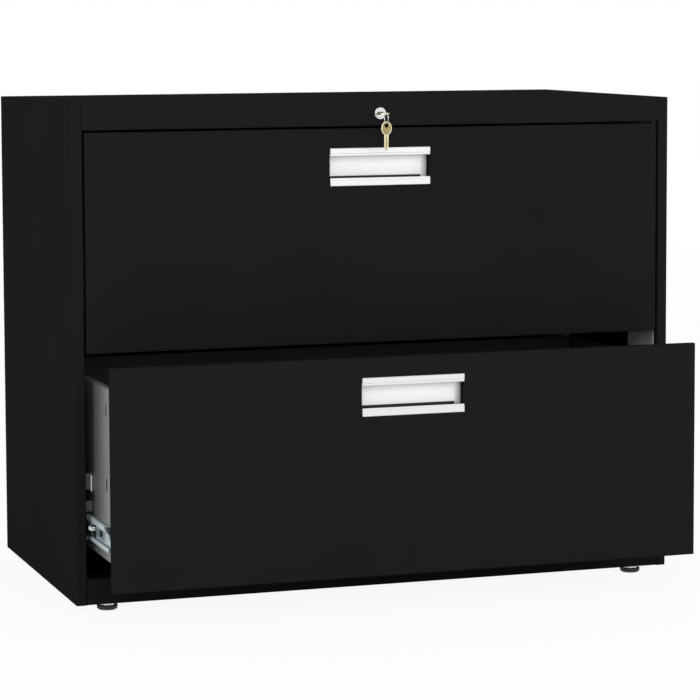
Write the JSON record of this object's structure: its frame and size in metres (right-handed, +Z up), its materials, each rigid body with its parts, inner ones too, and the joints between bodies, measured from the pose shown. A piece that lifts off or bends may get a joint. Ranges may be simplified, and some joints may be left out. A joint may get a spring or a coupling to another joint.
{
  "type": "lateral filing cabinet",
  "caption": "Low steel lateral filing cabinet with wide drawers on telescopic slides, recessed label pulls, a keyed header lock and levelling glides.",
  "frame": {"origin": "on the floor under the middle of the bounding box, with the lower drawer part open", "axes": "+X to the right seen from the front, +Y to the back, +Z up"},
  "size_m": [0.9144, 0.6248, 0.7207],
  "materials": {
    "black_paint": "satin black powder coat",
    "drawer_grey": "satin grey",
    "galvanised": "dull galvanised",
    "zinc_slide": "bright zinc plate",
    "pull_aluminium": "satin anodised",
    "label_card": "matt white card",
    "lock_chrome": "polished",
    "key_brass": "worn brass",
    "ring_steel": "bright wire",
    "bracket_steel": "dark phosphate",
    "glide_steel": "zinc plate",
    "weight_iron": "rough"
  },
  "bodies": {
    "case": {"top_panel": "black_paint", "back_panel": "black_paint", "bottom_panel": "black_paint", "kick_rail": "black_paint", "counterweight": "weight_iron", "lock_housing": "lock_chrome", "left_side_panel": "black_paint", "left_front_upright": "galvanised", "left_rear_upright": "galvanised", "upper_left_stop_bracket": "bracket_steel", "upper_left_slide_case_member": "zinc_slide", "lower_left_stop_bracket": "bracket_steel", "lower_left_slide_case_member": "zinc_slide", "right_side_panel": "black_paint", "right_front_upright": "galvanised", "right_rear_upright": "galvanised", "upper_right_stop_bracket": "bracket_steel", "upper_right_slide_case_member": "zinc_slide", "lower_right_stop_bracket": "bracket_steel", "lower_right_slide_case_member": "zinc_slide"},
    "upper_drawer": {"upper_drawer_front": "black_paint", "upper_drawer_inner_front": "drawer_grey", "upper_drawer_bottom": "drawer_grey", "upper_drawer_back": "drawer_grey", "upper_drawer_pull": "pull_aluminium", "upper_drawer_label": "label_card", "upper_left_drawer_side": "drawer_grey", "upper_right_drawer_side": "drawer_grey", "upper_left_slide_drawer_member": "zinc_slide", "upper_right_slide_drawer_member": "zinc_slide"},
    "upper_left_slide_middle_member": {"upper_left_slide_middle_member": "zinc_slide"},
    "upper_left_slide_retainer": {"upper_left_slide_retainer": "zinc_slide"},
    "upper_right_slide_middle_member": {"upper_right_slide_middle_member": "zinc_slide"},
    "upper_right_slide_retainer": {"upper_right_slide_retainer": "zinc_slide"},
    "lower_drawer": {"lower_drawer_front": "black_paint", "lower_drawer_inner_front": "drawer_grey", "lower_drawer_bottom": "drawer_grey", "lower_drawer_back": "drawer_grey", "lower_drawer_pull": "pull_aluminium", "lower_drawer_label": "label_card", "lower_left_drawer_side": "drawer_grey", "lower_right_drawer_side": "drawer_grey", "lower_left_slide_drawer_member": "zinc_slide", "lower_right_slide_drawer_member": "zinc_slide"},
    "lower_left_slide_middle_member": {"lower_left_slide_middle_member": "zinc_slide"},
    "lower_left_slide_retainer": {"lower_left_slide_retainer": "zinc_slide"},
    "lower_right_slide_middle_member": {"lower_right_slide_middle_member": "zinc_slide"},
    "lower_right_slide_retainer": {"lower_right_slide_retainer": "zinc_slide"},
    "lock_plug": {"lock_plug": "lock_chrome", "lock_cam": "galvanised"},
    "lock_bar": {"lock_bar": "galvanised"},
    "key": {"key": "key_brass"},
    "key_ring": {"key_ring": "ring_steel"},
    "interlock_rod": {"interlock_rod": "galvanised"},
    "left_front_glide": {"left_front_glide": "glide_steel"},
    "left_rear_glide": {"left_rear_glide": "glide_steel"},
    "right_front_glide": {"right_front_glide": "glide_steel"},
    "right_rear_glide": {"right_rear_glide": "glide_steel"}
  },
  "joints": [
    {"name": "upper_drawer_slide", "type": "slide", "parent": "case", "child": "upper_drawer", "axis": [0, -1, 0], "range_m": [0, 0.38]},
    {"name": "upper_left_slide_middle_member_run", "type": "slide", "parent": "case", "child": "upper_left_slide_middle_member", "axis": [0, -1, 0], "range_m": [0, 0.114]},
    {"name": "upper_left_slide_retainer_run", "type": "slide", "parent": "case", "child": "upper_left_slide_retainer", "axis": [0, -1, 0], "range_m": [0, 0.247]},
    {"name": "upper_right_slide_middle_member_run", "type": "slide", "parent": "case", "child": "upper_right_slide_middle_member", "axis": [0, -1, 0], "range_m": [0, 0.114]},
    {"name": "upper_right_slide_retainer_run", "type": "slide", "parent": "case", "child": "upper_right_slide_retainer", "axis": [0, -1, 0], "range_m": [0, 0.247]},
    {"name": "lower_drawer_slide", "type": "slide", "parent": "case", "child": "lower_drawer", "axis": [0, -1, 0], "range_m": [-0.1398, 0.2402]},
    {"name": "lower_left_slide_middle_member_run", "type": "slide", "parent": "case", "child": "lower_left_slide_middle_member", "axis": [0, -1, 0], "range_m": [-0.04194, 0.07206]},
    {"name": "lower_left_slide_retainer_run", "type": "slide", "parent": "case", "child": "lower_left_slide_retainer", "axis": [0, -1, 0], "range_m": [-0.09087, 0.15613]},
    {"name": "lower_right_slide_middle_member_run", "type": "slide", "parent": "case", "child": "lower_right_slide_middle_member", "axis": [0, -1, 0], "range_m": [-0.04194, 0.07206]},
    {"name": "lower_right_slide_retainer_run", "type": "slide", "parent": "case", "child": "lower_right_slide_retainer", "axis": [0, -1, 0], "range_m": [-0.09087, 0.15613]},
    {"name": "lock_turn", "type": "hinge", "parent": "case", "child": "lock_plug", "pos_m": [0, -0.17015, 0.703], "axis": [0, -1, 0], "range_deg": [0, 90]},
    {"name": "lock_bar_slide", "type": "slide", "parent": "case", "child": "lock_bar", "axis": [1, 0, 0], "range_m": [0, 0.01131]},
    {"name": "key_pull", "type": "slide", "parent": "lock_plug", "child": "key", "axis": [0, -1, 0], "range_m": [0, 0.028]},
    {"name": "key_ring_turn", "type": "hinge", "parent": "key", "child": "key_ring", "pos_m": [0, -0.19765, 0.69676], "axis": [1, 0, 0], "range_deg": [-90, 10]},
    {"name": "interlock_lift", "type": "slide", "parent": "case", "child": "interlock_rod", "axis": [0, 0, 1], "range_m": [0, 0.01]},
    {"name": "left_front_glide_turn", "type": "hinge", "parent": "case", "child": "left_front_glide", "pos_m": [-0.408, -0.14915, 0], "axis": [0, 0, 1], "continuous": true},
    {"name": "left_rear_glide_turn", "type": "hinge", "parent": "case", "child": "left_rear_glide", "pos_m": [-0.408, 0.29145, 0], "axis": [0, 0, 1], "continuous": true},
    {"name": "right_front_glide_turn", "type": "hinge", "parent": "case", "child": "right_front_glide", "pos_m": [0.408, -0.14915, 0], "axis": [0, 0, 1], "continuous": true},
    {"name": "right_rear_glide_turn", "type": "hinge", "parent": "case", "child": "right_rear_glide", "pos_m": [0.408, 0.29145, 0], "axis": [0, 0, 1], "continuous": true}
  ],
  "couplings": [
    {"joint": "upper_left_slide_middle_member_run", "follows": "upper_drawer_slide", "ratio": 0.3},
    {"joint": "upper_left_slide_retainer_run", "follows": "upper_drawer_slide", "ratio": 0.65},
    {"joint": "upper_right_slide_middle_member_run", "follows": "upper_drawer_slide", "ratio": 0.3},
    {"joint": "upper_right_slide_retainer_run", "follows": "upper_drawer_slide", "ratio": 0.65},
    {"joint": "lower_left_slide_middle_member_run", "follows": "lower_drawer_slide", "ratio": 0.3},
    {"joint": "lower_left_slide_retainer_run", "follows": "lower_drawer_slide", "ratio": 0.65},
    {"joint": "lower_right_slide_middle_member_run", "follows": "lower_drawer_slide", "ratio": 0.3},
    {"joint": "lower_right_slide_retainer_run", "follows": "lower_drawer_slide", "ratio": 0.65},
    {"joint": "lock_turn", "follows": "lock_bar_slide", "rad_per_m": 138.83}
  ]
}
